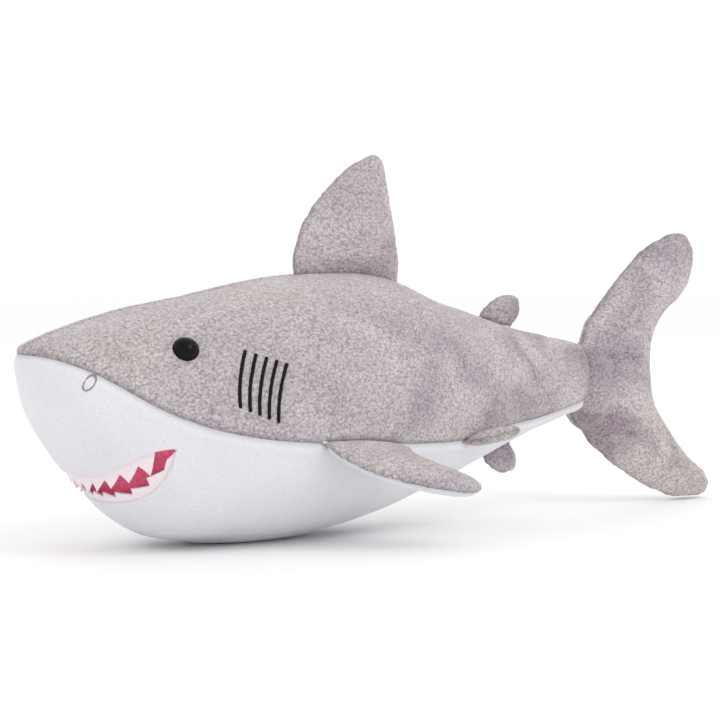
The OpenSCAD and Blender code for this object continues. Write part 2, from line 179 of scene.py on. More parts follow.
class Nodes:
    """Short ways to add nodes to a material's tree."""

    def __init__(self, name):
        self.material = bpy.data.materials.new(name)
        self.material.use_nodes = True
        self.tree = self.material.node_tree
        self.shader = self.tree.nodes["Principled BSDF"]
        self.place = self.tree.nodes.new("ShaderNodeTexCoord").outputs["Object"]

    def link(self, a, b):
        self.tree.links.new(a, b)

    def noise(self, scale, detail=2.0, roughness=0.5, stretch=(1, 1, 1), distortion=0.0):
        mapping = self.tree.nodes.new("ShaderNodeMapping")
        mapping.inputs["Scale"].default_value = stretch
        self.link(self.place, mapping.inputs["Vector"])
        node = self.tree.nodes.new("ShaderNodeTexNoise")
        node.inputs["Scale"].default_value = scale
        node.inputs["Detail"].default_value = detail
        node.inputs["Roughness"].default_value = roughness
        node.inputs["Distortion"].default_value = distortion
        self.link(mapping.outputs["Vector"], node.inputs["Vector"])
        return node.outputs["Fac"]

    def voronoi(self, scale, stretch=(1, 1, 1)):
        mapping = self.tree.nodes.new("ShaderNodeMapping")
        mapping.inputs["Scale"].default_value = stretch
        self.link(self.place, mapping.inputs["Vector"])
        node = self.tree.nodes.new("ShaderNodeTexVoronoi")
        node.inputs["Scale"].default_value = scale
        self.link(mapping.outputs["Vector"], node.inputs["Vector"])
        return node.outputs["Distance"]

    def ramp(self, value, stops):
        node = self.tree.nodes.new("ShaderNodeValToRGB")
        elements = node.color_ramp.elements
        while len(elements) < len(stops):
            elements.new(0.5)
        for element, (position, colour) in zip(elements, stops):
            element.position = position
            element.color = colour
        self.link(value, node.inputs["Fac"])
        return node.outputs["Color"]

    def mix(self, a, b, factor, blend="MIX"):
        node = self.tree.nodes.new("ShaderNodeMix")
        node.data_type = "RGBA"
        node.blend_type = blend
        for socket, value in ((node.inputs["Factor"], factor), (node.inputs[6], a), (node.inputs[7], b)):
            if isinstance(value, bpy.types.NodeSocket):
                self.link(value, socket)
            else:
                socket.default_value = value
        return node.outputs[2]

    def math(self, operation, a, b):
        node = self.tree.nodes.new("ShaderNodeMath")
        node.operation = operation
        for socket, value in zip(node.inputs, (a, b)):
            if isinstance(value, bpy.types.NodeSocket):
                self.link(value, socket)
            else:
                socket.default_value = value
        return node.outputs[0]

    def towards_tail(self):
        """How far back along the body: a little at the head, all of it from the middle on."""
        split = self.tree.nodes.new("ShaderNodeSeparateXYZ")
        self.link(self.place, split.inputs[0])
        share = self.math("ADD", self.math("MULTIPLY", split.outputs[0], 4.0), 0.72)
        return self.math("MINIMUM", self.math("MAXIMUM", share, 0.3), 1.0)

    def finish(self, colour, roughness, height, strength, distance, sheen=0.0, sheen_tint=(1, 1, 1, 1)):
        self.link(colour, self.shader.inputs["Base Color"])
        self.shader.inputs["Roughness"].default_value = roughness
        self.shader.inputs["Sheen Weight"].default_value = sheen
        self.shader.inputs["Sheen Roughness"].default_value = 0.5
        self.shader.inputs["Sheen Tint"].default_value = sheen_tint
        self.shader.inputs["Specular IOR Level"].default_value = 0.25
        if height is not None:
            bump = self.tree.nodes.new("ShaderNodeBump")
            bump.inputs["Strength"].default_value = strength
            bump.inputs["Distance"].default_value = distance
            self.link(height, bump.inputs["Height"])
            self.link(bump.outputs["Normal"], self.shader.inputs["Normal"])
        return self.material


def paint_seam_shade(n, colour, dark):
    """Paints shade into the fabric's colour where it is drawn into a seam: painted shade for the seam's
    groove, not a colour of the cloth.
    """
    node = n.tree.nodes.new("ShaderNodeAttribute")
    node.attribute_name = "crease"
    return n.mix(colour, dark, n.math("MULTIPLY", node.outputs["Fac"], 0.45), "MULTIPLY")


def grey_plush():
    n = Nodes("grey_plush")
    pile = n.noise(980, 4, 0.7, stretch=(0.8, 1, 1), distortion=0.3)
    tufts = n.voronoi(760, stretch=(0.75, 1, 1))
    brushed = n.noise(30, 3, 0.62, stretch=(0.7, 1, 1), distortion=0.6)
    broad = n.noise(9, 2, 0.5)
    fine = n.ramp(pile, [(0.3, linear(144, 136, 139)), (0.42, linear(187, 180, 183)),
                         (0.58, linear(212, 206, 208)), (0.75, linear(238, 233, 235))])
    patch = n.ramp(brushed, [(0.34, linear(202, 194, 202)), (0.58, linear(255, 254, 253))])
    pits = n.ramp(tufts, [(0.35, linear(255, 255, 255)), (0.8, linear(186, 178, 182))])
    tone = n.ramp(broad, [(0.35, linear(247, 246, 250)), (0.65, linear(255, 253, 249))])
    colour = n.mix(fine, patch, n.towards_tail(), "MULTIPLY")
    colour = n.mix(n.mix(colour, pits, 0.6, "MULTIPLY"), tone, 1.0, "MULTIPLY")
    # painted shade: the grey plush darkens where it sinks into a seam's groove
    colour = paint_seam_shade(n, colour, linear(120, 110, 116))
    height = n.math("SUBTRACT", pile, n.math("MULTIPLY", tufts, 0.5))
    return n.finish(colour, 0.95, height, 0.5, 0.0009, 0.35, linear(250, 244, 240))


def white_plush():
    n = Nodes("white_plush")
    pile = n.noise(1100, 3, 0.6)
    broad = n.noise(24, 2, 0.5)
    fine = n.ramp(pile, [(0.3, linear(219, 218, 222)), (0.55, linear(227, 226, 230)),
                         (0.75, linear(233, 232, 236))])
    tone = n.ramp(broad, [(0.3, linear(249, 249, 251)), (0.7, linear(255, 255, 255))])
    colour = n.mix(fine, tone, 1.0, "MULTIPLY")
    # painted shade: the white plush darkens where it sinks into a seam's groove
    colour = paint_seam_shade(n, colour, linear(190, 188, 196))
    return n.finish(colour, 0.95, pile, 0.2, 0.0003, 0.25)


def pink_lining():
    n = Nodes("pink_lining")
    pile = n.noise(800, 3, 0.6)
    fine = n.ramp(pile, [(0.3, linear(222, 92, 124)), (0.6, linear(240, 112, 148)),
                         (0.8, linear(250, 140, 178))])
    return n.finish(fine, 0.9, pile, 0.35, 0.0005, 0.2, linear(255, 160, 190))


def tooth_felt():
    n = Nodes("tooth_felt")
    fibres = n.noise(1500, 4, 0.65, stretch=(1, 0.4, 1))
    fine = n.ramp(fibres, [(0.3, linear(228, 214, 221)), (0.65, linear(243, 233, 238))])
    return n.finish(fine, 0.92, fibres, 0.25, 0.0003, 0.15)


def thread(name, dark, light):
    n = Nodes(name)
    strands = n.noise(2600, 2, 0.5)
    return n.finish(n.ramp(strands, [(0.3, dark), (0.7, light)]), 0.7, strands, 0.2, 0.0002)


def eye_plastic():
    n = Nodes("eye_plastic")
    swirl = n.noise(300, 2, 0.5)
    colour = n.ramp(swirl, [(0.3, linear(8, 7, 7)), (0.7, linear(20, 16, 14))])
    material = n.finish(colour, 0.09, None, 0, 0)
    n.shader.inputs["Specular IOR Level"].default_value = 0.13
    return material


def washer_plastic():
    n = Nodes("washer_plastic")
    grain = n.noise(700, 2, 0.5)
    colour = n.ramp(grain, [(0.3, linear(214, 213, 210)), (0.7, linear(232, 231, 228))])
    return n.finish(colour, 0.55, grain, 0.1, 0.0002)


def fibre_filling():
    n = Nodes("fibre_filling")
    fibres = n.noise(500, 4, 0.7, distortion=1.5)
    colour = n.ramp(fibres, [(0.3, linear(224, 224, 220)), (0.7, linear(248, 248, 245))])
    return n.finish(colour, 0.95, fibres, 0.5, 0.001)


# ---- mesh helpers ----

def coords(mesh):
    values = np.empty(len(mesh.vertices) * 3)
    mesh.vertices.foreach_get("co", values)
    return values.reshape(-1, 3)


def set_coords(mesh, values):
    mesh.vertices.foreach_set("co", np.ascontiguousarray(values, dtype=np.float64).ravel())
    mesh.update()


def normals(mesh):
    values = np.empty(len(mesh.vertices) * 3)
    mesh.vertex_normals.foreach_get("vector", values)
    return values.reshape(-1, 3)


def make_object(name, verts, faces):
    mesh = bpy.data.meshes.new(name)
    mesh.from_pydata([tuple(v) for v in verts], [], [tuple(f) for f in faces])
    mesh.update()
    piece = bpy.data.objects.new(name, mesh)
    bpy.context.scene.collection.objects.link(piece)
    return piece


def object_from_bmesh(name, bm):
    mesh = bpy.data.meshes.new(name)
    bm.to_mesh(mesh)
    bm.free()
    piece = bpy.data.objects.new(name, mesh)
    bpy.context.scene.collection.objects.link(piece)
    return piece


def apply_modifiers(piece):
    graph = bpy.context.evaluated_depsgraph_get()
    mesh = bpy.data.meshes.new_from_object(piece.evaluated_get(graph))
    piece.modifiers.clear()
    old = piece.data
    piece.data = mesh
    bpy.data.meshes.remove(old)


def remesh(piece, voxel):
    modifier = piece.modifiers.new("remesh", "REMESH")
    modifier.mode = "VOXEL"
    modifier.voxel_size = voxel
    apply_modifiers(piece)


def relax(piece, rounds, factor=0.5):
    modifier = piece.modifiers.new("smooth", "SMOOTH")
    modifier.factor = factor
    modifier.iterations = rounds
    apply_modifiers(piece)


def subdivide(piece, levels):
    modifier = piece.modifiers.new("subdivide", "SUBSURF")
    modifier.levels = levels
    modifier.render_levels = levels
    apply_modifiers(piece)


def stuff(piece, pinned, shrink, cap, pressure=4.0):
    """Fills the fabric: cloth under pressure with its seams pinned, starting a little smaller,
    and no point moves by more than cap."""
    mesh = piece.data
    pinned = np.asarray(pinned)
    start = coords(mesh)
    start = start - normals(mesh) * (shrink * ~pinned)[:, None]
    set_coords(mesh, start)
    group = piece.vertex_groups.new(name="seams")
    group.add([int(i) for i in np.nonzero(pinned)[0]], 1.0, "REPLACE")
    modifier = piece.modifiers.new("cloth", "CLOTH")
    cloth = modifier.settings
    cloth.quality = 6
    cloth.mass = 0.2
    cloth.tension_stiffness = 12
    cloth.compression_stiffness = 12
    cloth.shear_stiffness = 6
    cloth.bending_stiffness = 0.3
    cloth.vertex_group_mass = "seams"
    cloth.use_pressure = True
    cloth.uniform_pressure_force = pressure
    cloth.effector_weights.gravity = 0
    modifier.point_cache.frame_start = 1
    modifier.point_cache.frame_end = CLOTH_FRAMES
    scene = bpy.context.scene
    for number in range(1, CLOTH_FRAMES + 1):
        scene.frame_set(number)
    graph = bpy.context.evaluated_depsgraph_get()
    moved = coords(piece.evaluated_get(graph).data) - start
    piece.modifiers.clear()
    piece.vertex_groups.clear()
    scene.frame_set(1)
    length = np.linalg.norm(moved, axis=1)
    moved *= (np.minimum(length, cap) / np.maximum(length, 1e-9))[:, None]
    set_coords(mesh, start + moved)


def fractal(points, size, octaves=3, seed=0.0):
    """Smooth random values from about -1 to 1, with features of the given size."""
    offset = Vector((seed * 7.3, seed * 3.1, seed * 5.7))
    return np.array([noise.fractal(Vector(p) / size + offset, 0.8, 2.0, octaves) for p in points])


def nearest(points, targets):
    """Distance from each point to the closest target."""
    tree = KDTree(len(targets))
    for i, target in enumerate(targets):
        tree.insert(target, i)
    tree.balance()
    return np.array([tree.find(p)[2] for p in points])


def finish_piece(piece, material):
    """Gives a piece its material and smooth shading."""
    piece.data.materials.clear()
    piece.data.materials.append(material)
    piece.data.shade_smooth()


def joined_nodes(names):
    """Points and faces of several CAD nodes together."""
    points, faces = [], []
    for name in names:
        mesh = frame["nodes"][name].data
        faces.extend([len(points) + i for i in p.vertices] for p in mesh.polygons)
        points.extend(tuple(v.co) for v in mesh.vertices)
    return np.array(points), faces


def tree_of(piece):
    mesh = piece.data
    return BVHTree.FromPolygons([v.co for v in mesh.vertices], [p.vertices for p in mesh.polygons])


def fit_box(points, wanted):
    """Stretches points so that their box is that of the wanted points."""
    low, high = points.min(0), points.max(0)
    return wanted.min(0) + (points - low) * (wanted.max(0) - wanted.min(0)) / (high - low)


def take_faces(bm, wanted, name):
    """A new object with the faces of bm whose index is in wanted."""
    part = bm.copy()
    part.faces.index_update()
    bmesh.ops.delete(part, geom=[f for f in part.faces if f.index not in wanted], context="FACES")
    return object_from_bmesh(name, part)


def border_points(piece):
    bm = bmesh.new()
    bm.from_mesh(piece.data)
    points = [v.co.copy() for v in bm.verts if v.is_boundary]
    bm.free()
    return points


def store_seam_shade(piece, values):
    """Stores how deep in a seam each point lies, for the materials to darken it as painted shade in the
    seam's groove.
    """
    layer = piece.data.attributes.new("crease", "FLOAT", "POINT")
    layer.data.foreach_set("value", np.ascontiguousarray(values, dtype=np.float32))


# ---- body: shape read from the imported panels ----

def node_tree(names):
    """One search tree over several CAD nodes, and which node each triangle belongs to."""
    verts, tris, owner = [], [], []
    for name in names:
        mesh = frame["nodes"][name].data
        base = len(verts)
        verts.extend(v.co.copy() for v in mesh.vertices)
        mesh.calc_loop_triangles()
        for tri in mesh.loop_triangles:
            tris.append([base + i for i in tri.vertices])
            owner.append(name)
    return BVHTree.FromPolygons(verts, tris), owner


panels, panel_owner = node_tree(GREY_NODES + WHITE_NODES + MOUTH_NODES)


def is_grey(x, z, when_missed):
    hit = panels.ray_cast(Vector((x, -0.3, z)), Vector((0, 1, 0)))
    if hit[0] is None or hit[0].y > 0.001:
        return when_missed
    return panel_owner[hit[2]] in GREY_NODES


def find_seam():
    """Height of the side seam along the body, followed from the tail stem to the nose."""
    stations = STEM_X + (NOSE_X - STEM_X) * np.linspace(0.002, 0.999, 140)
    heights = []
    z = 0.060
    for x in stations:
        low, high = z - 9 * MM, z + 9 * MM
        for _ in range(14):
            middle = (low + high) / 2
            if is_grey(x, middle, middle > z):
                high = middle
            else:
                low = middle
        z = (low + high) / 2
        heights.append(z)
    kernel = np.array([1, 2, 3, 2, 1]) / 9
    padded = np.pad(heights, 2, mode="edge")
    return stations[::-1], np.convolve(padded, kernel, mode="valid")[::-1]


seam_x, seam_z = find_seam()


def seam_height(x):
    return np.interp(x, seam_x, seam_z)


def body_core():
    """A closed grid over the body's outside, with the mouth bridged over."""
    rings, spokes = 96, 88
    share = np.linspace(0.004, 1, rings) ** 1.6
    xs = NOSE_X + (STEM_X - NOSE_X) * share * 0.9995
    angles = np.linspace(0, 2 * math.pi, spokes, endpoint=False)
    radius = np.full((rings, spokes), np.nan)
    for i, x in enumerate(xs):
        centre = Vector((x, 0, seam_height(x)))
        for j, angle in enumerate(angles):
            out = Vector((0, math.cos(angle), math.sin(angle)))
            hit = panels.ray_cast(centre + out * 0.15, -out)
            if hit[0] is not None and panel_owner[hit[2]] not in MOUTH_NODES:
                radius[i, j] = (hit[0] - centre).dot(out)
    typical = np.nanmedian(radius, axis=1)
    for i in range(rings):
        radius[i, radius[i] < 0.25 * typical[i]] = np.nan
    missing = np.isnan(radius)
    for i in range(rings):
        radius[i, missing[i]] = typical[i]
    for _ in range(400):
        near = (np.roll(radius, 1, 1) + np.roll(radius, -1, 1)) / 4
        near += (np.vstack([radius[:1], radius[:-1]]) + np.vstack([radius[1:], radius[-1:]])) / 4
        radius[missing] = near[missing]
    verts = [(x, r * math.cos(a), seam_height(x) + r * math.sin(a))
             for x, ring in zip(xs, radius) for r, a in zip(ring, angles)]
    faces = [(i * spokes + j, (i + 1) * spokes + j, (i + 1) * spokes + (j + 1) % spokes,
              i * spokes + (j + 1) % spokes) for i in range(rings - 1) for j in range(spokes)]
    faces.append(tuple(range(spokes)))
    faces.append(tuple((rings - 1) * spokes + j for j in reversed(range(spokes))))
    return make_object("body_core", verts, faces)


def panel_at(x, angle):
    """The node seen from outside at a station of the head and an angle from its bottom line."""
    out = Vector((0, math.sin(angle), -math.cos(angle)))
    reach = 120 * MM
    hit = panels.ray_cast(Vector((x, 0, HEAD_AXIS_Z)) + out * reach, -out, reach)
    return panel_owner[hit[2]] if hit[0] is not None else None


def find_lips():
    """Both lips read off the CAD panels, unrolled, from the left corner to the right one."""
    xs = np.arange(-200, -150, 0.5) * MM
    upper, lower = [], []
    for angle in np.radians(np.arange(-88, 88.5, 1.0)):
        is_open = [panel_at(x, angle) not in WHITE_NODES + GREY_NODES for x in xs]
        if sum(is_open) < 3:
            continue
        first, last = is_open.index(True), len(xs) - 1 - is_open[::-1].index(True)
        for lip, shut, wide in ((upper, xs[first - 1], xs[first]), (lower, xs[last + 1], xs[last])):
            for _ in range(6):
                middle = (shut + wide) / 2
                if panel_at(middle, angle) in WHITE_NODES + GREY_NODES:
                    shut = middle
                else:
                    wide = middle
            lip.append((wide, angle * HEAD_RADIUS))
    corners = [((upper[i][0] + lower[i][0]) / 2, upper[i][1] * 1.008) for i in (0, -1)]
    return [np.array([corners[0]] + lip + [corners[1]]) for lip in (upper, lower)]


def unrolled(points):
    """Distance along the head, and round it from the bottom line."""
    points = np.atleast_2d(points)
    round_it = np.arctan2(points[:, 1], HEAD_AXIS_Z - points[:, 2]) * HEAD_RADIUS
    return np.stack([points[:, 0], round_it], axis=1)


def outline_distance(points, outline):
    """Distance of flat points from a closed outline, negative inside it."""
    starts, ends = outline, np.roll(outline, -1, axis=0)
    best = np.full(len(points), 1.0)
    inside = np.zeros(len(points), dtype=bool)
    for a, b in zip(starts, ends):
        along = b - a
        share = np.clip(((points - a) @ along) / max(along @ along, 1e-12), 0, 1)
        best = np.minimum(best, np.linalg.norm(points - a - share[:, None] * along, axis=1))
        crosses = (a[1] > points[:, 1]) != (b[1] > points[:, 1])
        if b[1] != a[1]:
            at = a[0] + (points[:, 1] - a[1]) * along[0] / along[1]
            inside ^= crosses & (points[:, 0] < at)
    return np.where(inside, -best, best)


def mouth_distance(points):
    """Signed distance on the skin from the mouth's outline, far off where the head isn't."""
    result = np.full(len(points), 0.05)
    near = (points[:, 0] < CHEEK_X) & (points[:, 2] < SEAM_AT_CHEEK + 8 * MM)
    result[near] = outline_distance(unrolled(points[near]), MOUTH_OUTLINE)
    return result


def cheek_distance(points):
    """How far a point is behind the cheek seams and the lips."""
    flat = unrolled(points)
    side = np.clip((np.abs(flat[:, 1]) - CORNER_ROUND) / (CHEEK_ROUND - CORNER_ROUND), 0, 1)
    seam = MOUTH_CORNER_X + side * (CHEEK_X - MOUTH_CORNER_X)
    below = np.interp(flat[:, 1], LOWER_FLAT[:, 1], LOWER_FLAT[:, 0])
    return flat[:, 0] - np.where(np.abs(flat[:, 1]) < CORNER_ROUND, below - 0.2 * MM, seam)


def make_skin(core, core_tree):
    """The body's whole stuffed skin, before it is cut into its panels."""
    skin = core.copy()
    skin.data = core.data.copy()
    bpy.context.scene.collection.objects.link(skin)
    remesh(skin, 6 * MM)
    for rounds in (3, 1):
        relax(skin, rounds)
        set_coords(skin.data, [core_tree.find_nearest(v.co)[0] for v in skin.data.vertices])
    bpy.data.objects.remove(core)
    points = coords(skin.data)
    above = points[:, 2] - seam_height(points[:, 0])
    sewn = np.abs(above) < 3 * MM
    sewn |= (above > 0) & (np.abs(points[:, 1]) < 2.6 * MM)
    sewn |= points[:, 0] > STEM_X - 4 * MM
    sewn |= points[:, 2] < 1.5 * MM
    stuff(skin, sewn, 1.2 * MM, 2.6 * MM)
    relax(skin, 2)
    subdivide(skin, 3)
    points = coords(skin.data)
    front = points[:, 0].min()
    share = np.clip((NOSE_PULL_X - points[:, 0]) / (NOSE_PULL_X - front), 0, 1) ** 2
    points[:, 0] += (NOSE_X - front) * share
    set_coords(skin.data, points)
    return skin


def cut_by(piece, value):
    """Cuts a mesh exactly where value(points) is zero, and returns its value at each face."""
    mesh = piece.data
    points = coords(mesh)
    values = value(points)
    values[np.abs(values) < 0.1 * MM] = 0
    bm = bmesh.new()
    bm.from_mesh(mesh)
    place = bm.verts.layers.float_vector.new("place")
    band = set(np.nonzero(np.abs(values) < 4 * MM)[0])
    for v, number in zip(bm.verts, values):
        v[place] = v.co
        v.co.x = number
    faces = [f for f in bm.faces if any(v.index in band for v in f.verts)]
    edges = {e for f in faces for e in f.edges}
    verts = {v for f in faces for v in f.verts}
    bmesh.ops.bisect_plane(bm, geom=faces + list(edges) + list(verts), dist=1e-7,
                           plane_co=(0, 0, 0), plane_no=(1, 0, 0))
    bm.faces.index_update()
    sides = np.array([sum(v.co.x for v in f.verts) for f in bm.faces])
    for v in bm.verts:
        v.co = v[place]
    bm.verts.layers.float_vector.remove(place)
    bm.to_mesh(mesh)
    bm.free()
    return sides


def split_off(piece, wanted, name):
    """Moves the wanted faces of a piece to a new object, and leaves the others."""
    bm = bmesh.new()
    bm.from_mesh(piece.data)
    part = bm.copy()
    for mesh, keep in ((bm, ~wanted), (part, wanted)):
        mesh.faces.index_update()
        bmesh.ops.delete(mesh, geom=[f for f in mesh.faces if not keep[f.index]], context="FACES")
    bm.to_mesh(piece.data)
    bm.free()
    return object_from_bmesh(name, part)


def cut_panels(skin):
    """Cuts the skin along its seams and lips into its four covers."""
    grey = cut_by(skin, lambda p: p[:, 2] - seam_height(p[:, 0])) > 0
    left = split_off(skin, grey, "left_back_cover")
    right = split_off(left, cut_by(left, lambda p: p[:, 1].copy()) > 0, "right_back_cover")
    inside = cut_by(skin, mouth_distance) < 0
    bpy.data.objects.remove(split_off(skin, inside, "mouth_opening"))
    snout = split_off(skin, cut_by(skin, cheek_distance) < 0, "snout_cover")
    skin.name = "belly_cover"
    return {piece.name: piece for piece in (left, right, snout, skin)}


def hem_lips(piece, middle):
    """Turns the fabric in along the lips, as a rounded hem."""
    bm = bmesh.new()
    bm.from_mesh(piece.data)

    def lip_verts():
        rim = [v for v in bm.verts if v.is_boundary]
        places = np.array([v.co for v in rim])
        near = np.abs(mouth_distance(places)) < 0.35 * MM
        near &= np.abs(unrolled(places)[:, 1]) < CORNER_ROUND + 0.1 * MM
        return [v for v, is_lip in zip(rim, near) if is_lip]

    bmesh.ops.remove_doubles(bm, verts=lip_verts(), dist=0.3 * MM)
    bm.normal_update()
    lips = set(lip_verts())
    edges = [e for e in bm.edges if e.is_boundary and all(v in lips for v in e.verts)]
    outward = {v: v.normal.copy() for e in edges for v in e.verts}
    inward = {}
    for v in outward:
        place = 0.5 + 0.5 * unrolled(v.co)[0][1] / CORNER_ROUND
        toward = middle[int(round(min(0.95, max(0.05, place)) * (len(middle) - 1)))] - v.co
        toward -= toward.dot(outward[v]) * outward[v]
        inward[v] = toward.normalized()
    beside = {v: [e.other_vert(v) for e in edges if v in e.verts] for v in outward}
    for directions in (outward, inward):
        for _ in range(8):
            directions.update({v: sum((directions[o] for o in beside[v]), directions[v]).normalized()
                               for v in directions})
    ring = {v: v for v in outward}
    start = {v: v.co.copy() for v in outward}
    for out, into in HEM_RINGS:
        made = bmesh.ops.extrude_edge_only(bm, edges=edges)["geom"]
        fresh = [g for g in made if isinstance(g, bmesh.types.BMVert)]
        edges = [g for g in made
                 if isinstance(g, bmesh.types.BMEdge) and all(v in fresh for v in g.verts)]
        step = {}
        for v in fresh:
            old = next(e.other_vert(v) for e in v.link_edges if e.other_vert(v) not in fresh)
            root = ring[old]
            v.co = start[root] + (outward[root] * out + inward[root] * into) * MM
            step[v] = root
        ring = step
    bmesh.ops.recalc_face_normals(bm, faces=bm.faces)
    bm.to_mesh(piece.data)
    bm.free()


def sew(piece, seams, depth, nap, unevenness, dimples=()):
    """Sinks the fabric at its seams and dimples, and gives it its nap and its stuffing's lumps."""
    mesh = piece.data
    points, out = coords(mesh), normals(mesh)
    gap = nearest(points, seams)
    pucker = 1 + 0.35 * fractal(points, 7 * MM, 2, 3.0)
    sink = depth * pucker * np.exp(-(gap / (1.5 * MM)) ** 2)
    sink -= 0.3 * depth * np.exp(-((gap - 4.5 * MM) / (2.2 * MM)) ** 2)
    for centre, radius, deep in dimples:
        away = np.linalg.norm(points - np.array(centre), axis=1)
        sink += deep * np.exp(-(away / radius) ** 2)
    fade = 1 - np.exp(-(gap / (3 * MM)) ** 2)
    lift = unevenness * fade * fractal(points, 34 * MM, 2, 1.0)
    lift += nap * fractal(points, 2.2 * MM, 2, 2.0)
    points += out * (lift - sink)[:, None]
    points[:, 2] = np.maximum(points[:, 2], 0.1 * MM)
    set_coords(mesh, points)
    # weights for the painted seam shade, darkest in the groove
    store_seam_shade(piece, np.exp(-(gap / (1.6 * MM)) ** 2))


# ---- mouth ----

def lip_chain(tree, flat):
    """Points along a lip on the skin, evenly spaced from the left corner to the right one."""
    points = []
    for place in np.linspace(0, len(flat) - 1, 241):
        x = np.interp(place, range(len(flat)), flat[:, 0])
        angle = np.interp(place, range(len(flat)), flat[:, 1]) / HEAD_RADIUS
        points.append(tree.ray_cast(Vector((x, 0, HEAD_AXIS_Z)),
                                    Vector((0, math.sin(angle), -math.cos(angle))))[0])
    points = np.array(points)
    travel = np.concatenate([[0], np.cumsum(np.linalg.norm(np.diff(points, axis=0), axis=1))])
    even = np.linspace(0, travel[-1], 241)
    return np.stack([np.interp(even, travel, points[:, i]) for i in range(3)], axis=1)


def chain_point(chain, t):
    place = min(1, max(0, t)) * (len(chain) - 1)
    i = min(len(chain) - 2, int(place))
    return Vector(chain[i]).lerp(Vector(chain[i + 1]), place - i)


class Mouth:
    """Places on and behind the skin between the lips: t runs from the left corner to the right
    one, v from the upper lip to the lower one."""

    def __init__(self, tree):
        self.tree = tree
        self.upper = lip_chain(tree, UPPER_FLAT)
        self.lower = lip_chain(tree, LOWER_FLAT)
        self.inside = Vector((MOUTH_CORNER_X + 25 * MM, 0, HEAD_AXIS_Z))
        self.length = float(np.linalg.norm(np.diff(self.upper, axis=0), axis=1).sum())

    def point(self, t, v, depth):
        spot = chain_point(self.upper, t).lerp(chain_point(self.lower, t), v)
        spot = self.tree.find_nearest(spot)[0]
        return spot + (self.inside - spot).normalized() * depth

    def gap(self, t):
        return (chain_point(self.upper, t) - chain_point(self.lower, t)).length

    def middle(self):
        return [chain_point(self.upper, t).lerp(chain_point(self.lower, t), 0.5)
                for t in np.linspace(0, 1, 101)]


def thick_sheet(name, grid, back):
    """A closed felt piece between a front grid and a back grid of points."""
    rows, cols = len(grid), len(grid[0])
    verts = [p for row in grid for p in row] + [p for row in back for p in row]
    n = rows * cols
    faces = []
    for i in range(rows - 1):
        for j in range(cols - 1):
            a, b, c, d = i * cols + j, i * cols + j + 1, (i + 1) * cols + j + 1, (i + 1) * cols + j
            faces += [(a, b, c, d), (n + a, n + d, n + c, n + b)]
    for i in range(rows - 1):
        for j in (0, cols - 1):
            a, d = i * cols + j, (i + 1) * cols + j
            faces.append((a, d, n + d, n + a) if j == 0 else (d, a, n + a, n + d))
    for j in range(cols - 1):
        for i in (0, rows - 1):
            a, b = i * cols + j, i * cols + j + 1
            faces.append((b, a, n + a, n + b) if i == 0 else (a, b, n + b, n + a))
    piece = make_object(name, verts, faces)
    bm = bmesh.new()
    bm.from_mesh(piece.data)
    bmesh.ops.recalc_face_normals(bm, faces=bm.faces)
    bm.to_mesh(piece.data)
    bm.free()
    return piece


def make_lining(mouth):
    rows, cols = 120, 30

    def dip(t, v):
        side = 1 - abs(2 * t - 1) ** 5
        return (1.6 + 6.4 * max(0.0, math.sin(math.pi * min(1, max(0, v)))) ** 0.7 * side) * MM

    def grid(extra):
        return [[mouth.point(t, v, dip(t, v) + extra) for v in np.linspace(-0.22, 1.22, cols)]
                for t in np.linspace(0.004, 0.996, rows)]

    piece = thick_sheet("mouth_lining_cloth", grid(0), grid(1.2 * MM))
    points, out = coords(piece.data), normals(piece.data)
    set_coords(piece.data, points + out * (0.12 * MM * fractal(points, 1.6 * MM, 2, 4.0))[:, None])
    return piece


def tooth_strip(name, mouth, count, start, band, tip, lean, from_upper):
    """A strip of felt with pointed teeth: band and tip are distances from its lip, and the
    teeth lean forward. The upper strip's end teeth rise straight from the lip, and the lower
    strip grows from the corners."""
    felt, hidden, per_tooth, rows = 1.1 * MM, 2.5 * MM, 16, 14
    columns = count * per_tooth

    def edge(k):
        phase = 1 - abs((k / per_tooth) % 1 - 0.5) * 2
        ends = min(k, columns - k) / per_tooth
        if from_upper:
            return band + (tip - band) * phase if ends > 0.5 else 2 * ends * tip
        return (band + (tip - band) * phase) * min(1, 0.15 + ends * 0.7)

    def grid(extra):
        result = []
        for k in range(columns + 1):
            t = start + (1 - 2 * start) * k / columns
            gap = max(mouth.gap(t), 0.5 * MM)
            end = min(edge(k), 0.8 * gap)
            front = max(0, 1 - 1.5 * abs(2 * t - 1))
            forward = lean * min(1, max(-1, (0.5 - t) / 0.14))
            row = []
            for s in np.linspace(0, 1, rows):
                reach = -hidden + (end + hidden) * s
                free = max(0, reach) / tip
                spot = mouth.point(t + forward * free ** 1.5,
                                   reach / gap if from_upper else 1 - reach / gap, 1.3 * MM + extra)
                if from_upper:
                    spot += Vector((-0.34 * front, 0, -0.16 * front)) * max(0, reach)
                    spot += (spot - mouth.inside).normalized() * (0.8 * MM * free ** 1.5)
                row.append(spot)
            result.append(row)
        return result

    return thick_sheet(name, grid(0), grid(felt))


# ---- eyes, stitches ----

def frame_at(outward):
    """Axes of a flat patch of the skin: along the body, up the body and outward."""
    n = Vector(outward).normalized()
    along = (Vector((1, 0, 0)) - n * n.x).normalized()
    return along, n.cross(along), n


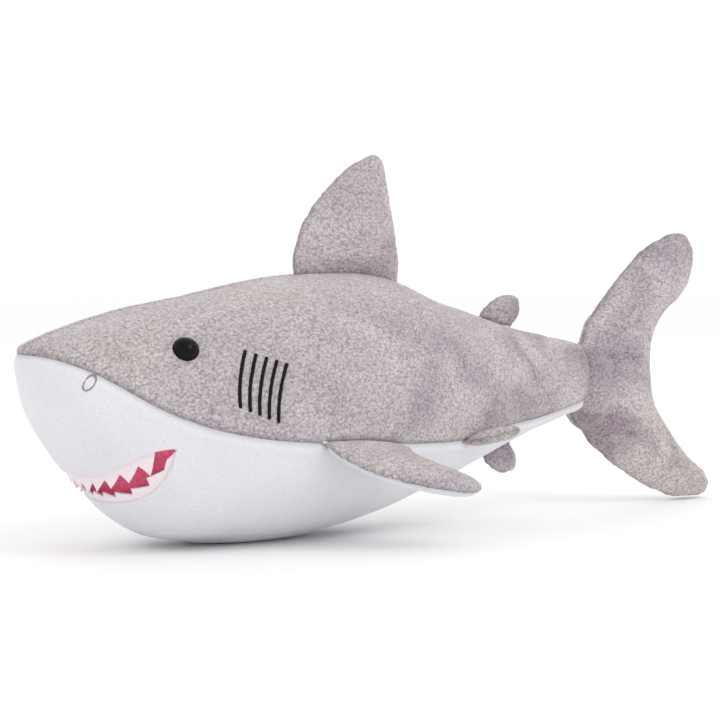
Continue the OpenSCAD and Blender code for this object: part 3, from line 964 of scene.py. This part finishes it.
def make_eye(side, skin_tree):
    """A glossy dome on a thin rim, sunk into the nap, with its stem inside."""
    node = coords(frame["nodes"][f"{side}_eye"].data)
    centre = node.mean(0)
    spot = skin_tree.find_nearest(Vector(centre))[0]
    n = Vector(EYE_NORMAL)
    if side == "right":
        n.y = -n.y
    reach = node @ np.array(n)
    top = reach.max()
    axis = Vector(centre) - n * (Vector(centre).dot(n))
    rim = node[reach > top - 5 * MM]
    radius = max((Vector(p) - (axis + n * Vector(p).dot(n))).length for p in rim)
    along, up, n = frame_at(n)
    dome = 0.8 * radius
    base = spot.dot(n) - 0.9 * MM
    profile = [(1.6 * MM, base - 9 * MM), (2 * MM, base - 8.6 * MM), (2 * MM, base - 0.4 * MM),
               (radius * 0.9, base - 0.2 * MM), (radius, base + 0.3 * MM)]
    for a in np.linspace(0.06, 1, 22):
        angle = a * math.pi / 2
        profile.append((radius * math.cos(angle), base + 0.3 * MM + dome * math.sin(angle)))
    profile[-1] = (0.02 * MM, profile[-1][1])
    turns = 64
    verts = [axis + along * (r * math.cos(a)) + up * (r * math.sin(a)) + n * h
             for r, h in profile for a in np.linspace(0, 2 * math.pi, turns, endpoint=False)]
    faces = [(i * turns + j, i * turns + (j + 1) % turns, (i + 1) * turns + (j + 1) % turns,
              (i + 1) * turns + j) for i in range(len(profile) - 1) for j in range(turns)]
    faces.append(tuple(reversed(range(turns))))
    faces.append(tuple((len(profile) - 1) * turns + j for j in range(turns)))
    return make_object(f"{side}_eye_dome", verts, faces)


def satin_line(tree, line, half_width, height, pitch):
    """Rows of points of one embroidered line laid on the skin, ridged like its wound thread."""
    length = sum((b - a).length for a, b in zip(line, line[1:]))
    rows = int(length / pitch) * 4
    cols = 11
    result = []
    for i in range(rows + 1):
        s = i / rows
        place = s * (len(line) - 1)
        k = min(len(line) - 2, int(place))
        centre = line[k].lerp(line[k + 1], place - k)
        heading = (line[k + 1] - line[k]).normalized()
        normal = tree.find_nearest(centre)[1]
        across = heading.cross(normal).normalized()
        ends = min(1, 4 * min(s, 1 - s) * length / (2 * half_width)) ** 0.5
        row = []
        for w in np.linspace(-1, 1, cols):
            wind = math.cos(2 * math.pi * (s * length / pitch + 0.55 * w))
            wide = half_width * ends * (1 + 0.1 * wind + 0.12 * noise.noise(centre / (1.4 * MM)))
            spot = tree.find_nearest(centre + across * (w * wide))[0]
            dome = height * ends * math.sqrt(max(0, 1 - w * w)) * (1 + 0.16 * wind)
            row.append(spot + normal * (dome - 0.25 * MM * abs(w) ** 6))
        result.append(row)
    return result


def make_gills(side, tree):
    """Black satin stitched lines along the CAD model's gill lines."""
    bm = bmesh.new()
    bm.from_mesh(frame["nodes"][f"{side}_gill_stitches"].data)
    bmesh.ops.remove_doubles(bm, verts=bm.verts[:], dist=1e-6)
    bm.verts.index_update()
    islands, seen = [], set()
    for seed in bm.verts:
        if seed.index in seen:
            continue
        stack, island = [seed], []
        seen.add(seed.index)
        while stack:
            v = stack.pop()
            island.append(v.co.copy())
            for e in v.link_edges:
                other = e.other_vert(v)
                if other.index not in seen:
                    seen.add(other.index)
                    stack.append(other)
        islands.append(np.array(island))
    bm.free()
    verts, faces = [], []
    outside = -1 if side == "left" else 1
    for island in islands:
        curve = np.polyfit(island[:, 2], island[:, 0], 3)
        line = []
        for z in np.linspace(island[:, 2].max(), island[:, 2].min(), 24):
            x = np.polyval(curve, z)
            hit = tree.ray_cast(Vector((x, outside * 0.3, z)), Vector((0, -outside, 0)))[0]
            line.append(hit)
        grid = satin_line(tree, line, 0.95 * MM, 0.75 * MM, 0.75 * MM)
        cols = len(grid[0])
        base = len(verts)
        verts += [p for row in grid for p in row]
        faces += [(base + i * cols + j, base + i * cols + j + 1, base + (i + 1) * cols + j + 1,
                   base + (i + 1) * cols + j) for i in range(len(grid) - 1) for j in range(cols - 1)]
    return make_object(f"{side}_gill_embroidery", verts, faces)


def make_nostril(side, tree):
    """A thin loop of thread stitches on the snout."""
    low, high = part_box(f"{side}_nostril_stitch")
    centre_x, centre_z = (low[0] + high[0]) / 2, (low[2] + high[2]) / 2 + NOSTRIL_RAISE
    outside = -1 if side == "left" else 1
    around, ring = 144, 8
    stitches = 11
    spine = []
    for a in np.linspace(0, 2 * math.pi, around, endpoint=False):
        x = centre_x + (2.0 * math.cos(a) + 1.4 * math.sin(a)) * MM
        z = centre_z + 3.5 * math.sin(a) * MM
        spine.append(tree.ray_cast(Vector((x, outside * 0.3, z)), Vector((0, -outside, 0)))[:2])
    verts = []
    for i, (spot, normal) in enumerate(spine):
        heading = (spine[(i + 1) % around][0] - spine[i - 1][0]).normalized()
        across = heading.cross(normal).normalized()
        swell = 0.55 + 0.45 * abs(math.sin(math.pi * stitches * i / around)) ** 0.6
        for b in np.linspace(0, 2 * math.pi, ring, endpoint=False):
            verts.append(spot + (across * math.cos(b) + normal * math.sin(b)) * (0.42 * MM * swell)
                         + normal * 0.1 * MM)
    faces = [(i * ring + j, i * ring + (j + 1) % ring, ((i + 1) % around) * ring + (j + 1) % ring,
              ((i + 1) % around) * ring + j) for i in range(around) for j in range(ring)]
    return make_object(f"{side}_nostril_thread", verts, faces)


# ---- fins ----

def joint_of(name):
    joint = next(j for j in frame["record"]["behaviour"]["joints"] if j["name"] == name)
    axis = np.array(joint["axis"], dtype=float)
    return np.array(joint["pos_m"], dtype=float), axis / np.linalg.norm(axis)


def smooth_step(value):
    value = np.clip(value, 0, 1)
    return value * value * (3 - 2 * value)


def make_fin(prefix, joint, sides, voxel, levels, sink, bend, skin_tree, plug=None):
    """One fin: the two faces and the filling, as stuffed pieces."""
    names = [f"{prefix}_{side}" for side in sides] + [f"{prefix}_stuffing"]
    points, faces = joined_nodes(names)
    pivot, axis = joint_of(joint)
    out = points.mean(0) - pivot
    out -= out.dot(axis) * axis
    out /= np.linalg.norm(out)
    across = np.cross(axis, out)
    height = (points - pivot) @ out
    if plug is None:
        points = points - np.outer(sink * (1 - smooth_step(height / (3.2 * sink))), out)
    else:
        centre, size = plug
        rings, spokes = 16, 24
        for i in range(rings + 1):
            a = math.pi * i / rings
            for j in range(spokes):
                b = 2 * math.pi * j / spokes
                unit = (math.cos(a), math.sin(a) * math.cos(b), math.sin(a) * math.sin(b))
                points = np.vstack([points, [np.array(centre) + np.array(size) * unit]])
        base = len(points) - (rings + 1) * spokes
        faces += [(base + i * spokes + j, base + i * spokes + (j + 1) % spokes,
                   base + (i + 1) * spokes + (j + 1) % spokes, base + (i + 1) * spokes + j)
                  for i in range(rings) for j in range(spokes)]
    shell = make_object(f"{prefix}_shell", points, faces)
    remesh(shell, voxel)
    relax(shell, 2)
    set_coords(shell.data, fit_box(coords(shell.data), np.array(points)))
    points = coords(shell.data)
    height = (points - pivot) @ out
    aside = (points - pivot) @ across
    stuff(shell, (np.abs(aside) < 0.5 * voxel) | (height < 2 * sink), 0.4 * voxel, 0.75 * voxel)
    relax(shell, 1)
    filling = shell.copy()
    filling.data = shell.data.copy()
    bpy.context.scene.collection.objects.link(filling)
    filling.name = f"{prefix}_filling"
    inner = coords(filling.data)
    inner -= normals(filling.data) * 0.9 * voxel
    inner -= np.outer(0.2 * ((inner - pivot) @ across), across)
    set_coords(filling.data, inner)
    subdivide(filling, 1)
    subdivide(shell, levels)

    bm = bmesh.new()
    bm.from_mesh(shell.data)
    bm.faces.ensure_lookup_table()
    pivot_v, out_v, across_v = Vector(pivot), Vector(out), Vector(across)
    near = [v for v in bm.verts if abs((v.co - pivot_v).dot(across_v)) < 0.1 * MM]
    for v in near:
        v.co -= across_v * (v.co - pivot_v).dot(across_v)
    bmesh.ops.bisect_plane(bm, geom=bm.faces[:] + bm.edges[:] + bm.verts[:], dist=1e-6,
                           plane_co=pivot_v, plane_no=across_v)
    bm.faces.index_update()
    drop = set()
    for face in bm.faces:
        c = face.calc_center_median()
        if (c - pivot_v).dot(out_v) < 12 * MM + sink:
            spot, normal = skin_tree.find_nearest(c)[:2]
            if (c - spot).dot(normal) < -2.6 * MM:
                drop.add(face.index)
    pieces = []
    for side in sides:
        sign = np.sign((coords(frame["nodes"][f"{prefix}_{side}"].data).mean(0) - pivot) @ across)
        wanted = {f.index for f in bm.faces if f.index not in drop
                  and (f.calc_center_median() - pivot_v).dot(across_v) * sign > 0}
        pieces.append(take_faces(bm, wanted, f"{prefix}_{side}_cover"))
    bm.free()
    bpy.data.objects.remove(shell)
    rims = [p for piece in pieces for p in border_points(piece)
            if abs((p - pivot_v).dot(across_v)) < 0.05 * MM]
    start = pivot_v - out_v * sink
    end = pivot_v + out_v * bend
    if plug is not None:
        start, end = pivot_v - out_v * 2.5 * MM, pivot_v + out_v * bend
    return pieces, filling, rims, start, end


# ---- the toy ----

SEAM_AT_CHEEK = float(seam_height(MOUTH_CORNER_X))

make_camera()
make_stage()

GREY = grey_plush()
WHITE = white_plush()
FILLING = fibre_filling()

core = body_core()
core_tree = tree_of(core)
UPPER_FLAT, LOWER_FLAT = find_lips()
MOUTH_OUTLINE = np.vstack([UPPER_FLAT, LOWER_FLAT[::-1]])
CORNER_ROUND = float(np.abs(LOWER_FLAT[:, 1]).max())
CHEEK_ROUND = CORNER_ROUND + 11 * MM
skin = make_skin(core, core_tree)
skin_tree = tree_of(skin)
mouth = Mouth(skin_tree)
covers = cut_panels(skin)
seams = border_points(covers["left_back_cover"]) + border_points(covers["right_back_cover"])

eye_middles = [coords(frame["nodes"][f"{side}_eye"].data).mean(0) for side in ("left", "right")]
dimples = [(skin_tree.find_nearest(Vector(middle))[0], 10 * MM, 1.2 * MM) for middle in eye_middles]
for name, cover in covers.items():
    grey = "back" in name
    if not grey:
        hem_lips(cover, mouth.middle())
    sew(cover, seams, 1.1 * MM, 0.2 * MM if grey else 0.04 * MM, 0.6 * MM, dimples if grey else ())
    finish_piece(cover, GREY if grey else WHITE)
    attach(cover, BODY)
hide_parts("left_back_panel")
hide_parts("right_back_panel")
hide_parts("snout_panel")
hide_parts("belly_panel", "body_stuffing")

back_trees = {side: tree_of(covers[f"{side}_back_cover"]) for side in ("left", "right")}


def place_small(piece, material, node):
    finish_piece(piece, material)
    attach(piece, BODY)
    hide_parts(node)


FELT = tooth_felt()
EYE = eye_plastic()
BLACK = thread("black_thread", linear(3, 3, 3), linear(18, 17, 19))
TAUPE = thread("taupe_thread", linear(120, 104, 108), linear(176, 162, 166))
WASHER = washer_plastic()

place_small(make_lining(mouth), pink_lining(), "mouth_lining")
place_small(tooth_strip("upper_teeth_felt", mouth, **UPPER_TEETH), FELT, "upper_teeth")
place_small(tooth_strip("lower_teeth_felt", mouth, **LOWER_TEETH), FELT, "lower_teeth")
for side in ("left", "right"):
    place_small(make_eye(side, back_trees[side]), EYE, f"{side}_eye")
    place_small(make_gills(side, back_trees[side]), BLACK, f"{side}_gill_stitches")
    place_small(make_nostril(side, skin_tree), TAUPE, f"{side}_nostril_stitch")
    for slot in frame["nodes"][f"{side}_eye_washer"].material_slots:
        slot.material = WASHER

for prefix, body, joint, sides, voxel, levels, sink, bend in FINS:
    plug = TAIL_PLUG if prefix == "tail_fin" else None
    pieces, filling, rims, start, end = make_fin(prefix, joint, sides, voxel * MM, levels,
                                                 sink * MM, bend * MM, skin_tree, plug)
    for piece, side in zip(pieces, sides):
        white = side == "underside" and "pectoral" in prefix
        sew(piece, rims, 0.7 * MM, 0.04 * MM if white else 0.2 * MM, 0.35 * MM)
        finish_piece(piece, WHITE if white else GREY)
    finish_piece(filling, FILLING)
    for piece, part in zip(pieces + [filling], (*sides, "stuffing")):
        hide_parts(f"{prefix}_{part}")
    for piece in pieces + [filling]:
        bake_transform(piece)
